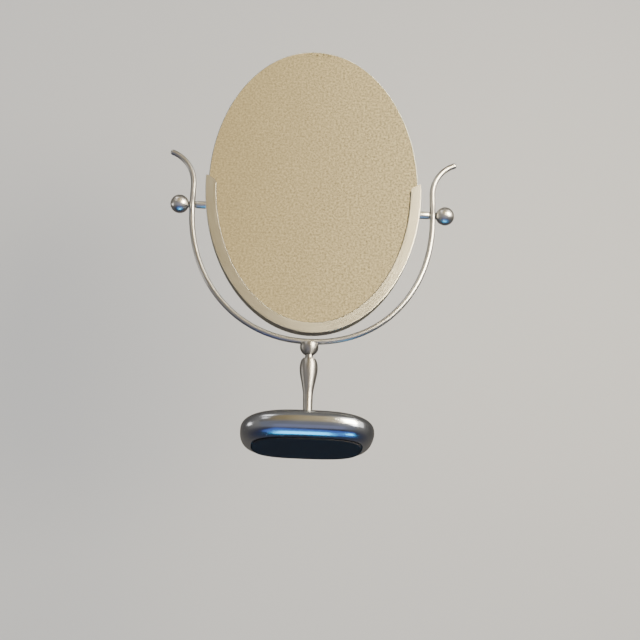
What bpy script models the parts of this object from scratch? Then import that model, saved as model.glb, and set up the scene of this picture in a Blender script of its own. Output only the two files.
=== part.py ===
"""Countertop mirror: an oval glass held in a half-moon channel that tilts in a U-shaped rod yoke,
on a turned stem and a weighted pebble-shaped base.

Frame: origin at the centre of the base's underside, +Z up, +X to the right, the glass faces -Y.
Lengths are in metres.
"""
import math

import bmesh
import bpy
from mathutils import Matrix, Vector

MM = 0.001
GAP = 0.3 * MM                    # clearance between pieces that touch

# Base
BASE_HALF_WIDTH = 67.5 * MM
BASE_HALF_DEPTH = 53.0 * MM
BASE_SQUARENESS = 3.0             # superellipse exponent of the base's plan
BASE_EQUATOR_Z = 15.2 * MM        # height of the widest line
BASE_TOP_Z = 34.0 * MM
BASE_RIM_Z = 1.5 * MM
BASE_RIM_INSET = 11.5 * MM        # rim outline inside the widest outline
BASE_RIM_TURN = 0.97              # how far the lower section turns under, 1 being fully flat
BASE_CROWN_SQUARENESS = 2.57      # superellipse exponent of the upper section
BASE_CROWN_LAST = math.radians(84)    # last ring before the hole, as an angle up the section
BASE_CROWN_STEPS = 8
BASE_SIDE_HEIGHTS = (BASE_RIM_Z, 2.2 * MM, 3.4 * MM, 5.4 * MM, 8.0 * MM, 11.2 * MM)
SHELL_WALL = 1.2 * MM
PAD_THICKNESS = 2.3 * MM
PLATE_THICKNESS = 2.0 * MM
PLATE_HALF_WIDTH = 54.5 * MM
PLATE_HALF_DEPTH = 40.0 * MM
BALLAST_INSET = 2.1 * MM          # ballast inside the base's outer form
BALLAST_SIDE_HEIGHTS = (3.1 * MM, 7.0 * MM, 11.0 * MM)    # heights on the outer form
BALLAST_CROWN_STEPS = 5
NUT_POCKET_RADIUS = 8.5 * MM
NUT_POCKET_TOP_Z = 14.0 * MM
NUT_HEIGHT = 5.0 * MM
NUT_CORNER_RADIUS = 4.6 * MM
SPRING_WASHER_RADIUS = 7.0 * MM
SPRING_WASHER_THICKNESS = 0.8 * MM
SPRING_WASHER_DISH = 0.3 * MM
PLATE_SCREW_X = 40.0 * MM
PLATE_SCREW_Y = 26.0 * MM
PLATE_SCREW_RADIUS = 1.2 * MM
PLATE_SCREW_TOP_Z = 11.0 * MM
PLATE_SCREW_HEAD_RADIUS = 2.6 * MM
PLATE_SCREW_HEAD_HEIGHT = 0.8 * MM

# Stem, tie rod and the ball under the yoke
STEM_OUTLINE = (                  # radius and height down the turned outside, in millimetres
    (5.2, 96.6), (6.6, 96.0), (7.9, 94.2), (8.8, 91.2), (9.3, 87.6), (9.35, 84.5), (8.8, 79.5),
    (7.7, 73.5), (6.5, 67.5), (5.5, 62.0), (5.05, 57.5), (4.95, 52.0), (4.8, 46.0), (4.75, 41.5),
    (4.9, 38.8), (5.4, 36.8), (6.2, 35.4),
)
TIE_ROD_RADIUS = 2.5 * MM
TIE_ROD_BOTTOM_Z = 5.6 * MM
TIE_ROD_TOP_Z = 109.4 * MM
TIE_ROD_BORE = 2.9 * MM
STEM_TOP_Z = 96.6 * MM
COLLAR_TOP_Z = 100.4 * MM
COLLAR_RADIUS = 4.0 * MM
BALL_CENTRE_Z = 109.4 * MM
BALL_RADIUS = 9.65 * MM
BALL_CUT_Z = 112.4 * MM           # flat top of the ball, under the yoke rod
BALL_STEPS = 8

# Yoke
ROD_RADIUS = 3.0 * MM
YOKE_HALF_SPAN = 130.5 * MM
YOKE_BOTTOM_Z = 115.2 * MM
YOKE_SQUARENESS = 2.13            # superellipse exponent of the U
YOKE_STEPS = 17
CURL_START_Z = 291.0 * MM
CURL_RUN = 36.7 * MM              # semi-axes of the outward curl
CURL_RISE = 40.0 * MM
CURL_ANGLE = math.radians(75)
CURL_STEPS = 9
ROD_BEVEL_RESOLUTION = 3
BOSS_RADIUS = 4.4 * MM
BOSS_HALF_LENGTH = 3.0 * MM

# Pivot line
PIVOT_Z = 266.7 * MM
POST_RADIUS = 4.0 * MM
STUD_RADIUS = 2.0 * MM
STUD_BORE = 2.3 * MM
STUD_DEPTH = 8.0 * MM             # stud's length inside the post
STUD_IN_KNOB = 1.5 * MM           # stud's end short of the knob's centre
KNOB_BORE_END = 1.0 * MM          # bore's end short of the knob's centre
POST_ROOT_INSET = 5.0 * MM        # raw post's start inside the glass edge, before it is trimmed
INNER_WASHER_THICKNESS = 0.8 * MM
OUTER_WASHER_THICKNESS = 0.6 * MM
WASHER_RADIUS = 3.7 * MM
KNOB_CENTRE_X = 144.0 * MM
KNOB_RADIUS = 10.0 * MM
KNOB_STEPS = 11

# Glass and its half-moon channel
GLASS_HALF_WIDTH = 114.5 * MM
GLASS_HALF_HEIGHT = 169.5 * MM
GLASS_CENTRE_Z = 295.8 * MM
GLASS_FRONT_Y = -2.85 * MM
GLASS_THICKNESS = 4.0 * MM
GLASS_BEVEL = 0.9 * MM
BACKING_INSET = 1.5 * MM
BACKING_THICKNESS = 1.45 * MM
CHANNEL_OFFSET = 3.0 * MM         # channel's outer face beyond the glass edge
CHANNEL_WALL = 1.5 * MM
CHANNEL_HALF_DEPTH = 5.55 * MM
CHANNEL_LIP = 11.5 * MM
CHANNEL_END_RISE = 4.9 * MM       # outer corner of the channel's end above the glass centre
CHANNEL_END_FLAT = 2.5 * MM
CHANNEL_END_DROP = 5.8 * MM       # fall of the slanted end across the lip
CHANNEL_CORNER = 3.5 * MM
CHANNEL_CORNER_STEPS = 4
CHANNEL_OUTER_STEPS = 46
CHANNEL_INNER_STEPS = 40
LINER_LIP_SHOW = 0.6 * MM         # liner visible past the channel's lip
LINER_WALL = 0.7 * MM
LINER_END_INSET = 0.4 * MM        # liner's end below the channel's end
LAYER_GAP = 0.25 * MM             # glass to backing, and liner to channel lips

ROUND_SEGMENTS = 24
SMALL_SEGMENTS = 16
OVAL_SEGMENTS = 96
PEBBLE_SEGMENTS = 48
NUT_SIDES = 6
CUT_REACH = 40.0 * MM             # cutters run this far past what they cut
WELD = 0.005 * MM                 # vertices closer than this are one
SHARP_ANGLE = math.radians(35)    # edges sharper than this are not shaded smooth
FLAT_ANGLE = math.radians(0.05)
BEVEL_ANGLE = math.radians(60)


def clear_scene():
    for item in list(bpy.data.objects):
        bpy.data.objects.remove(item, do_unlink=True)


def make_collection(name):
    collection = bpy.data.collections.new(name)
    bpy.context.scene.collection.children.link(collection)
    return collection


clear_scene()
PARTS = make_collection("countertop_mirror")
CUTTERS = make_collection("cutters")


def make_material(name, color, metallic, roughness):
    material = bpy.data.materials.new(name)
    material.use_nodes = True
    shader = material.node_tree.nodes["Principled BSDF"]
    shader.inputs["Base Color"].default_value = (*color, 1.0)
    shader.inputs["Metallic"].default_value = metallic
    shader.inputs["Roughness"].default_value = roughness
    return material


MATERIALS = {
    "polished_shell": make_material("polished_shell", (0.62, 0.60, 0.57), 1.0, 0.22),
    "satin_steel": make_material("satin_steel", (0.58, 0.56, 0.53), 1.0, 0.30),
    "satin_aluminium": make_material("satin_aluminium", (0.72, 0.70, 0.66), 1.0, 0.42),
    "mirror_glass": make_material("mirror_glass", (0.85, 0.87, 0.84), 1.0, 0.02),
    "back_paint": make_material("back_paint", (0.10, 0.10, 0.11), 0.0, 0.60),
    "liner_rubber": make_material("liner_rubber", (0.02, 0.02, 0.02), 0.0, 0.70),
    "fibre_washer": make_material("fibre_washer", (0.04, 0.04, 0.04), 0.0, 0.65),
    "foam_pad": make_material("foam_pad", (0.015, 0.015, 0.02), 0.0, 0.85),
    "cast_iron": make_material("cast_iron", (0.16, 0.16, 0.16), 0.6, 0.70),
    "zinc_steel": make_material("zinc_steel", (0.50, 0.50, 0.48), 1.0, 0.40),
}


def add_object(name, mesh, material, collection=PARTS):
    item = bpy.data.objects.new(name, mesh)
    collection.objects.link(item)
    if material:
        mesh.materials.clear()
        mesh.materials.append(MATERIALS[material])
        mesh.shade_smooth()
        mesh.set_sharp_from_angle(angle=SHARP_ANGLE)
    return item


def hide_cutter(cutter):
    cutter.hide_render = True
    cutter.display_type = "WIRE"


def cut(item, cutter):
    hide_cutter(cutter)
    boolean = item.modifiers.new("cut_" + cutter.name, "BOOLEAN")
    boolean.operation = "DIFFERENCE"
    boolean.object = cutter


def join(item, tool):
    hide_cutter(tool)
    boolean = item.modifiers.new("join_" + tool.name, "BOOLEAN")
    boolean.operation = "UNION"
    boolean.object = tool


def turned(name, profile, material, segments=ROUND_SEGMENTS, closed=False):
    """A body turned about Z from (radius, height) points that run down the outer side."""
    mesh = bpy.data.meshes.new(name)
    points = [(radius, 0.0, height) for radius, height in profile]
    edges = [(i, i + 1) for i in range(len(points) - 1)]
    if closed:
        edges.append((len(points) - 1, 0))
    mesh.from_pydata(points, edges, [])
    item = add_object(name, mesh, material)
    screw = item.modifiers.new("turn", "SCREW")
    screw.axis = "Z"
    screw.steps = segments
    screw.render_steps = segments
    screw.use_merge_vertices = True
    screw.merge_threshold = WELD
    return item


def ring(name, outer, inner, low, high, material, segments=ROUND_SEGMENTS):
    profile = [(outer, high), (outer, low), (inner, low), (inner, high)]
    return turned(name, profile, material, segments, closed=True)


def cylinder(name, radius, low, high, material=None, segments=SMALL_SEGMENTS, collection=CUTTERS):
    """A solid cylinder about Z between two heights."""
    mesh = bpy.data.meshes.new(name)
    shape = bmesh.new()
    bmesh.ops.create_cone(
        shape, cap_ends=True, segments=segments, radius1=radius, radius2=radius,
        depth=high - low, matrix=Matrix.Translation((0, 0, (high + low) / 2)))
    shape.to_mesh(mesh)
    shape.free()
    return add_object(name, mesh, material, collection)


def lay_along_x(item, side):
    """Turns a body made about Z so that its +Z points outward, to the given side, on the pivot."""
    item.rotation_euler = (0, side * math.pi / 2, 0)
    item.location = (0, 0, PIVOT_Z)


def curve_to_mesh_object(curve_object, name, material, collection=PARTS):
    """Replaces a curve object by a welded mesh object in the same place."""
    bpy.context.view_layer.update()
    evaluated = curve_object.evaluated_get(bpy.context.evaluated_depsgraph_get())
    mesh = bpy.data.meshes.new_from_object(evaluated)
    shape = bmesh.new()
    shape.from_mesh(mesh)
    bmesh.ops.remove_doubles(shape, verts=shape.verts, dist=WELD)
    bmesh.ops.dissolve_limit(shape, angle_limit=FLAT_ANGLE, verts=shape.verts, edges=shape.edges)
    bmesh.ops.recalc_face_normals(shape, faces=shape.faces)
    shape.to_mesh(mesh)
    shape.free()
    item = add_object(name, mesh, material, collection)
    item.matrix_world = curve_object.matrix_world
    bpy.data.objects.remove(curve_object, do_unlink=True)
    return item


def flat_piece(name, outline, thickness, material, collection=PARTS):
    """A flat outline in the XY plane, extruded evenly to both sides of it."""
    curve = bpy.data.curves.new(name + "_outline", "CURVE")
    curve.dimensions = "2D"
    curve.fill_mode = "BOTH"
    curve.extrude = thickness / 2
    spline = curve.splines.new("POLY")
    spline.points.add(len(outline) - 1)
    for point, (x, y) in zip(spline.points, outline):
        point.co = (x, y, 0, 1)
    spline.use_cyclic_u = True
    curve_object = bpy.data.objects.new(name + "_outline", curve)
    collection.objects.link(curve_object)
    return curve_to_mesh_object(curve_object, name, material, collection)


def stand_upright(item, front_y, thickness, centre_z):
    """Stands a flat piece up so that its outline lies in the XZ plane behind front_y."""
    turn = Matrix.Rotation(math.pi / 2, 4, "X")
    item.matrix_world = Matrix.Translation((0, front_y + thickness / 2, centre_z)) @ turn


def superellipse(half_x, half_y, exponent, count):
    """Outline points at even angles round the centre."""
    points = []
    for i in range(count):
        angle = 2 * math.pi * i / count
        cosine = math.cos(angle)
        sine = math.sin(angle)
        reach = (abs(cosine / half_x) ** exponent + abs(sine / half_y) ** exponent) ** (-1 / exponent)
        points.append((reach * cosine, reach * sine))
    return points


def oval(half_x, half_y, count=OVAL_SEGMENTS):
    angles = [2 * math.pi * i / count for i in range(count)]
    return [(half_x * math.cos(angle), half_y * math.sin(angle)) for angle in angles]


def loft(name, rings, material, cap_bottom, cap_top):
    """Skins a stack of rings, each a list of the same number of 3-D points, bottom to top."""
    shape = bmesh.new()
    loops = [[shape.verts.new(point) for point in points] for points in rings]
    count = len(loops[0])
    for lower, upper in zip(loops, loops[1:]):
        for i in range(count):
            j = (i + 1) % count
            shape.faces.new((lower[i], lower[j], upper[j], upper[i]))
    if cap_bottom:
        shape.faces.new(list(reversed(loops[0])))
    if cap_top:
        shape.faces.new(loops[-1])
    mesh = bpy.data.meshes.new(name)
    shape.to_mesh(mesh)
    shape.free()
    return add_object(name, mesh, material)


def pebble_halves(z):
    """Half width and half depth of the base's form at a height."""
    if z <= BASE_EQUATOR_Z:
        depth = BASE_RIM_TURN * (BASE_EQUATOR_Z - z) / (BASE_EQUATOR_Z - BASE_RIM_Z)
        turn = (1 - math.sqrt(1 - depth ** 2)) / (1 - math.sqrt(1 - BASE_RIM_TURN ** 2))
        inset = BASE_RIM_INSET * turn
        return BASE_HALF_WIDTH - inset, BASE_HALF_DEPTH - inset
    rise = (z - BASE_EQUATOR_Z) / (BASE_TOP_Z - BASE_EQUATOR_Z)
    scale = (1 - rise ** BASE_CROWN_SQUARENESS) ** (1 / BASE_CROWN_SQUARENESS)
    return BASE_HALF_WIDTH * scale, BASE_HALF_DEPTH * scale


def pebble_ring(z, inset=0.0):
    """One outline of the base's form, moved inward along the surface by an inset."""
    half_x, half_y = pebble_halves(z)
    slope = 0.0
    if inset:
        slope = (half_y - pebble_halves(z - WELD)[1]) / WELD
    length = math.hypot(1.0, slope)
    height = z + inset * slope / length
    outline = superellipse(
        half_x - inset / length, half_y - inset / length, BASE_SQUARENESS, PEBBLE_SEGMENTS)
    return [Vector((x, y, height)) for x, y in outline]


def crown_heights(steps):
    """Heights that space the rings evenly round the base's upper section."""
    rise = BASE_TOP_Z - BASE_EQUATOR_Z
    return [BASE_EQUATOR_Z + rise * math.sin(BASE_CROWN_LAST * i / steps) for i in range(steps + 1)]


def circle_ring(radius, z, count):
    angles = [2 * math.pi * i / count for i in range(count)]
    return [Vector((radius * math.cos(angle), radius * math.sin(angle), z)) for angle in angles]


# ---------------------------------------------------------------- base

def build_base_shell():
    rings = [pebble_ring(z) for z in list(BASE_SIDE_HEIGHTS) + crown_heights(BASE_CROWN_STEPS)]
    rings.append(circle_ring(TIE_ROD_BORE + GAP, BASE_TOP_Z, PEBBLE_SEGMENTS))
    shell = loft("base_shell", rings, "polished_shell", False, False)
    solidify = shell.modifiers.new("wall", "SOLIDIFY")
    solidify.thickness = SHELL_WALL
    solidify.offset = -1
    return shell


def screw_places():
    return [(sx * PLATE_SCREW_X, sy * PLATE_SCREW_Y) for sx in (-1, 1) for sy in (-1, 1)]


def build_ballast():
    heights = list(BALLAST_SIDE_HEIGHTS) + crown_heights(BALLAST_CROWN_STEPS)
    rings = [pebble_ring(z, BALLAST_INSET) for z in heights]
    ballast = loft("ballast_weight", rings, "cast_iron", True, True)
    cut(ballast, cylinder("ballast_bore", TIE_ROD_BORE, 0, CUT_REACH))
    cut(ballast, cylinder("nut_pocket", NUT_POCKET_RADIUS, 0, NUT_POCKET_TOP_Z, segments=ROUND_SEGMENTS))
    for index, (x, y) in enumerate(screw_places(), 1):
        hole = cylinder(f"ballast_screw_hole_{index}", PLATE_SCREW_RADIUS + GAP, 0, PLATE_SCREW_TOP_Z + GAP)
        hole.location = (x, y, 0)
        cut(ballast, hole)
    return ballast


def build_plate_and_screws():
    outline = superellipse(PLATE_HALF_WIDTH, PLATE_HALF_DEPTH, BASE_SQUARENESS, PEBBLE_SEGMENTS)
    low = PAD_THICKNESS + GAP
    plate = flat_piece("base_plate", outline, PLATE_THICKNESS, "zinc_steel")
    plate.location = (0, 0, low + PLATE_THICKNESS / 2)
    cut(plate, cylinder("plate_opening", NUT_POCKET_RADIUS + GAP, 0, CUT_REACH, segments=ROUND_SEGMENTS))
    head_top = low + PLATE_SCREW_HEAD_HEIGHT
    for index, (x, y) in enumerate(screw_places(), 1):
        hole = cylinder(f"plate_screw_hole_{index}", PLATE_SCREW_RADIUS + GAP, 0, CUT_REACH)
        sink = cylinder(f"plate_screw_sink_{index}", PLATE_SCREW_HEAD_RADIUS + GAP, 0, head_top + GAP)
        for cutter in (hole, sink):
            cutter.location = (x, y, 0)
            cut(plate, cutter)
        profile = [
            (0, PLATE_SCREW_TOP_Z),
            (PLATE_SCREW_RADIUS, PLATE_SCREW_TOP_Z),
            (PLATE_SCREW_RADIUS, head_top),
            (PLATE_SCREW_HEAD_RADIUS, head_top),
            (PLATE_SCREW_HEAD_RADIUS, low),
            (0, low),
        ]
        screw = turned(f"base_plate_screw_{index}", profile, "zinc_steel", SMALL_SEGMENTS)
        screw.location = (x, y, 0)


def build_pad():
    outline = superellipse(PLATE_HALF_WIDTH, PLATE_HALF_DEPTH, BASE_SQUARENESS, PEBBLE_SEGMENTS)
    pad = flat_piece("base_pad", outline, PAD_THICKNESS, "foam_pad")
    pad.location = (0, 0, PAD_THICKNESS / 2)


# ---------------------------------------------------------------- stem, tie rod, ball

def build_stem():
    profile = [(radius * MM, height * MM) for radius, height in STEM_OUTLINE]
    foot_z = BASE_TOP_Z + GAP
    profile += [(profile[-1][0], foot_z), (TIE_ROD_BORE, foot_z), (TIE_ROD_BORE, STEM_TOP_Z)]
    turned("stem", profile, "satin_steel", closed=True)
    ring("neck_collar", COLLAR_RADIUS, TIE_ROD_BORE, STEM_TOP_Z + GAP, COLLAR_TOP_Z, "satin_steel")


def build_tie_rod():
    cylinder("tie_rod", TIE_ROD_RADIUS, TIE_ROD_BOTTOM_Z, TIE_ROD_TOP_Z, "zinc_steel", collection=PARTS)
    washer_top = NUT_POCKET_TOP_Z - GAP
    washer_rim = washer_top - SPRING_WASHER_DISH
    dish = [
        (SPRING_WASHER_RADIUS, washer_rim),
        (SPRING_WASHER_RADIUS, washer_rim - SPRING_WASHER_THICKNESS),
        (TIE_ROD_BORE, washer_top - SPRING_WASHER_THICKNESS),
        (TIE_ROD_BORE, washer_top),
    ]
    turned("spring_washer", dish, "zinc_steel", closed=True)
    nut_top = washer_rim - SPRING_WASHER_THICKNESS - GAP
    nut_low = nut_top - NUT_HEIGHT
    nut = cylinder("tie_rod_nut", NUT_CORNER_RADIUS, nut_low, nut_top, "zinc_steel", NUT_SIDES, PARTS)
    cut(nut, cylinder("nut_bore", TIE_ROD_RADIUS + GAP, 0, CUT_REACH))


def build_yoke_ball():
    profile = [(0, BALL_CUT_Z)]
    start = math.asin((BALL_CUT_Z - BALL_CENTRE_Z) / BALL_RADIUS)
    neck_z = COLLAR_TOP_Z + GAP
    stop = math.asin((neck_z - BALL_CENTRE_Z) / BALL_RADIUS)
    for i in range(BALL_STEPS + 1):
        angle = start + (stop - start) * i / BALL_STEPS
        profile.append((BALL_RADIUS * math.cos(angle), BALL_CENTRE_Z + BALL_RADIUS * math.sin(angle)))
    bore_top = TIE_ROD_TOP_Z + GAP
    profile += [(TIE_ROD_BORE, neck_z), (TIE_ROD_BORE, bore_top), (0, bore_top)]
    ball = turned("yoke_ball", profile, "satin_steel")
    saddle = cylinder("saddle_groove", ROD_RADIUS + GAP, -CUT_REACH, CUT_REACH, segments=ROUND_SEGMENTS)
    saddle.rotation_euler = (0, math.pi / 2, 0)
    saddle.location = (0, 0, YOKE_BOTTOM_Z)
    cut(ball, saddle)


# ---------------------------------------------------------------- yoke

def yoke_half():
    """Centreline of one side, from the middle of the bottom to the tip of the curl."""
    points = []
    for i in range(YOKE_STEPS + 1):
        angle = math.pi / 2 * i / YOKE_STEPS
        x = YOKE_HALF_SPAN * math.sin(angle) ** (2 / YOKE_SQUARENESS)
        z = PIVOT_Z - (PIVOT_Z - YOKE_BOTTOM_Z) * math.cos(angle) ** (2 / YOKE_SQUARENESS)
        points.append((x, z))
    for i in range(CURL_STEPS + 1):
        angle = CURL_ANGLE * i / CURL_STEPS
        x = YOKE_HALF_SPAN + CURL_RUN * (1 - math.cos(angle))
        z = CURL_START_Z + CURL_RISE * math.sin(angle)
        points.append((x, z))
    return points


def build_yoke():
    right = yoke_half()
    left = [(-x, z) for x, z in reversed(right[1:])]
    path = left + right
    curve = bpy.data.curves.new("yoke_path", "CURVE")
    curve.dimensions = "3D"
    curve.bevel_depth = ROD_RADIUS
    curve.bevel_resolution = ROD_BEVEL_RESOLUTION
    curve.use_fill_caps = True
    spline = curve.splines.new("POLY")
    spline.points.add(len(path) - 1)
    for point, (x, z) in zip(spline.points, path):
        point.co = (x, 0, z, 1)
    curve_object = bpy.data.objects.new("yoke_path", curve)
    PARTS.objects.link(curve_object)
    yoke = curve_to_mesh_object(curve_object, "yoke_rod", "satin_steel")
    for side, label in ((-1, "left"), (1, "right")):
        low = YOKE_HALF_SPAN - BOSS_HALF_LENGTH
        high = YOKE_HALF_SPAN + BOSS_HALF_LENGTH
        boss = cylinder("boss_" + label, BOSS_RADIUS, low, high, segments=ROUND_SEGMENTS)
        bore = cylinder("pivot_bore_" + label, STUD_BORE, low - GAP, high + GAP)
        for tool in (boss, bore):
            lay_along_x(tool, side)
        join(yoke, boss)
        cut(yoke, bore)


# ---------------------------------------------------------------- pivots and knobs

def upright_oval_cutter(name, grow, low_y, high_y):
    """An oval this much larger than the glass, between two depths."""
    outline = oval(GLASS_HALF_WIDTH + grow, GLASS_HALF_HEIGHT + grow)
    cutter = flat_piece(name, outline, high_y - low_y, None, CUTTERS)
    stand_upright(cutter, low_y, high_y - low_y, GLASS_CENTRE_Z)
    return cutter


def build_pivot(side, label):
    boss_in = YOKE_HALF_SPAN - BOSS_HALF_LENGTH
    boss_out = YOKE_HALF_SPAN + BOSS_HALF_LENGTH

    washer_top = boss_in - GAP
    washer_low = washer_top - INNER_WASHER_THICKNESS
    washer = ring("inner_washer_" + label, WASHER_RADIUS, STUD_BORE, washer_low, washer_top, "fibre_washer",
                  SMALL_SEGMENTS)
    lay_along_x(washer, side)

    post_top = washer_low - GAP
    stud_low = post_top - STUD_DEPTH
    bore_low = stud_low - GAP
    post_low = GLASS_HALF_WIDTH - POST_ROOT_INSET
    profile = [(0, bore_low), (STUD_BORE, bore_low), (STUD_BORE, post_top), (POST_RADIUS, post_top),
               (POST_RADIUS, post_low), (0, post_low)]
    post = turned("pivot_post_" + label, profile, "satin_aluminium", SMALL_SEGMENTS)
    lay_along_x(post, side)
    trim = upright_oval_cutter("post_trim_" + label, CHANNEL_OFFSET + GAP, -CUT_REACH, CUT_REACH)
    cut(post, trim)

    stud_high = KNOB_CENTRE_X - STUD_IN_KNOB
    stud = cylinder("pivot_stud_" + label, STUD_RADIUS, stud_low, stud_high, "zinc_steel", collection=PARTS)
    lay_along_x(stud, side)

    outer_low = boss_out + GAP
    outer_top = outer_low + OUTER_WASHER_THICKNESS
    outer = ring("outer_washer_" + label, WASHER_RADIUS, STUD_BORE, outer_low, outer_top, "fibre_washer",
                 SMALL_SEGMENTS)
    lay_along_x(outer, side)

    flat_x = outer_top + GAP
    start = math.pi / 2
    stop = -math.asin((KNOB_CENTRE_X - flat_x) / KNOB_RADIUS)
    profile = []
    for i in range(KNOB_STEPS + 1):
        angle = start + (stop - start) * i / KNOB_STEPS
        radius = max(0.0, KNOB_RADIUS * math.cos(angle)) if i else 0.0
        profile.append((radius, KNOB_CENTRE_X + KNOB_RADIUS * math.sin(angle)))
    bore_end = KNOB_CENTRE_X - KNOB_BORE_END
    profile += [(STUD_BORE, flat_x), (STUD_BORE, bore_end), (0, bore_end)]
    knob = turned("ball_knob_" + label, profile, "satin_steel")
    lay_along_x(knob, side)


# ---------------------------------------------------------------- glass and channel

def rounded_corner(before, corner, after):
    """Points of a smooth corner between two points, drawn towards the corner."""
    points = []
    for i in range(CHANNEL_CORNER_STEPS + 1):
        t = i / CHANNEL_CORNER_STEPS
        weights = ((1 - t) ** 2, 2 * t * (1 - t), t ** 2)
        x = sum(weight * point[0] for weight, point in zip(weights, (before, corner, after)))
        y = sum(weight * point[1] for weight, point in zip(weights, (before, corner, after)))
        points.append((x, y))
    return points


def half_moon(offset, width, end_rise):
    """Outline of the lower half of an oval ring with slanted ends, about the glass centre.

    offset is the outer edge's distance outside the glass, width is the ring's width.
    """
    outer_x = GLASS_HALF_WIDTH + offset
    outer_y = GLASS_HALF_HEIGHT + offset
    inner_x = outer_x - width
    inner_y = outer_y - width
    outer_end = math.asin(end_rise / outer_y)
    inner_end_y = end_rise - CHANNEL_END_DROP
    corner_end = math.asin((inner_end_y - CHANNEL_CORNER) / inner_y)
    outline = []
    for i in range(CHANNEL_OUTER_STEPS + 1):
        angle = outer_end - (math.pi + 2 * outer_end) * i / CHANNEL_OUTER_STEPS
        outline.append((outer_x * math.cos(angle), outer_y * math.sin(angle)))
    flat_end = (-(outer_x - CHANNEL_END_FLAT), end_rise)
    corner = (-inner_x, inner_end_y)
    slope = (corner[1] - flat_end[1]) / (corner[0] - flat_end[0])
    before = (corner[0] - CHANNEL_CORNER, corner[1] - slope * CHANNEL_CORNER)
    after = (-inner_x * math.cos(corner_end), inner_y * math.sin(corner_end))
    left_end = [flat_end] + rounded_corner(before, corner, after)
    outline += left_end
    for i in range(1, CHANNEL_INNER_STEPS):
        angle = math.pi - corner_end + (math.pi + 2 * corner_end) * i / CHANNEL_INNER_STEPS
        outline.append((inner_x * math.cos(angle), inner_y * math.sin(angle)))
    outline += [(-x, y) for x, y in reversed(left_end)]
    return outline


def build_mirror():
    outline = half_moon(CHANNEL_OFFSET, CHANNEL_LIP, CHANNEL_END_RISE)
    depth = 2 * CHANNEL_HALF_DEPTH
    frame = flat_piece("mirror_frame", outline, depth, "satin_aluminium")
    stand_upright(frame, -CHANNEL_HALF_DEPTH, depth, GLASS_CENTRE_Z)
    groove = CHANNEL_HALF_DEPTH - CHANNEL_WALL
    cut(frame, upright_oval_cutter("frame_groove", CHANNEL_OFFSET - CHANNEL_WALL, -groove, groove))

    liner_offset = CHANNEL_OFFSET - CHANNEL_WALL - GAP
    liner_width = CHANNEL_LIP - CHANNEL_WALL - GAP + LINER_LIP_SHOW
    liner_half = groove - LAYER_GAP
    liner_outline = half_moon(liner_offset, liner_width, CHANNEL_END_RISE - LINER_END_INSET)
    liner = flat_piece("frame_liner", liner_outline, 2 * liner_half, "liner_rubber")
    stand_upright(liner, -liner_half, 2 * liner_half, GLASS_CENTRE_Z)
    liner_groove = liner_half - LINER_WALL
    cut(liner, upright_oval_cutter("liner_groove", GAP, -liner_groove, liner_groove))

    outline = oval(GLASS_HALF_WIDTH, GLASS_HALF_HEIGHT)
    glass = flat_piece("mirror_glass", outline, GLASS_THICKNESS, "mirror_glass")
    stand_upright(glass, GLASS_FRONT_Y, GLASS_THICKNESS, GLASS_CENTRE_Z)
    bevel = glass.modifiers.new("ground_edge", "BEVEL")
    bevel.width = GLASS_BEVEL
    bevel.segments = 1
    bevel.limit_method = "ANGLE"
    bevel.angle_limit = BEVEL_ANGLE

    backing_front = GLASS_FRONT_Y + GLASS_THICKNESS + LAYER_GAP
    backing_outline = oval(GLASS_HALF_WIDTH - BACKING_INSET, GLASS_HALF_HEIGHT - BACKING_INSET)
    backing = flat_piece("backing_panel", backing_outline, BACKING_THICKNESS, "back_paint")
    stand_upright(backing, backing_front, BACKING_THICKNESS, GLASS_CENTRE_Z)


def hang_on(name, location, pieces):
    """Parents pieces, where they stand, to an empty on their joint's axis."""
    pivot = bpy.data.objects.new(name, None)
    pivot.location = location
    PARTS.objects.link(pivot)
    bpy.context.view_layer.update()
    for piece in pieces:
        item = bpy.data.objects[piece]
        item.parent = pivot
        item.matrix_parent_inverse = pivot.matrix_world.inverted()


build_base_shell()
build_ballast()
build_plate_and_screws()
build_pad()
build_stem()
build_tie_rod()
build_yoke_ball()
build_yoke()
for pivot_side, pivot_label in ((-1, "left"), (1, "right")):
    build_pivot(pivot_side, pivot_label)
build_mirror()
swivel_pieces = ["neck_collar", "tie_rod", "tie_rod_nut", "yoke_ball", "yoke_rod"]
tilt_pieces = ["mirror_frame", "frame_liner", "mirror_glass", "backing_panel"]
hang_on("yoke_swivel_axis", (0, 0, STEM_TOP_Z), swivel_pieces)
hang_on("mirror_tilt_axis", (0, 0, PIVOT_Z), tilt_pieces)
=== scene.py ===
"""The countertop mirror's visible surface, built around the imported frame.

Frame: origin at the centre of the base's underside, +Z up, +X to the right, the glass faces -Y.
Lengths are in metres.
"""

import math

import bmesh
import bpy
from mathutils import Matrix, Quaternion, Vector


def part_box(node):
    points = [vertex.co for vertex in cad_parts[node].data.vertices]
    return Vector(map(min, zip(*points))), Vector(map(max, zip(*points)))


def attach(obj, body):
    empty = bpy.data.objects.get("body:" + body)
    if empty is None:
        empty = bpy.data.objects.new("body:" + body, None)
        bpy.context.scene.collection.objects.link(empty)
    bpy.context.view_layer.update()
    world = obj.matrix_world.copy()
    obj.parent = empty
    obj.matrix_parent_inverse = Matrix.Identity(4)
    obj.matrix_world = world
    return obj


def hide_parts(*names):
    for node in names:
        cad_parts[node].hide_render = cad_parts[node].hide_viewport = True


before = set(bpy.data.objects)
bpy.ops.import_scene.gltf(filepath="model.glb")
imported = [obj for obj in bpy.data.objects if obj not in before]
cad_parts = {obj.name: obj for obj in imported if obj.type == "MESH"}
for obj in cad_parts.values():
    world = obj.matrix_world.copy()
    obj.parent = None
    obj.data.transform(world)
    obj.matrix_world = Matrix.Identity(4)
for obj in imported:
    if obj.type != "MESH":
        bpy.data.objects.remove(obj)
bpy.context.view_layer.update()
MM = 0.001
GAP = 0.3 * MM                    # clearance between pieces that touch
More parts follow.
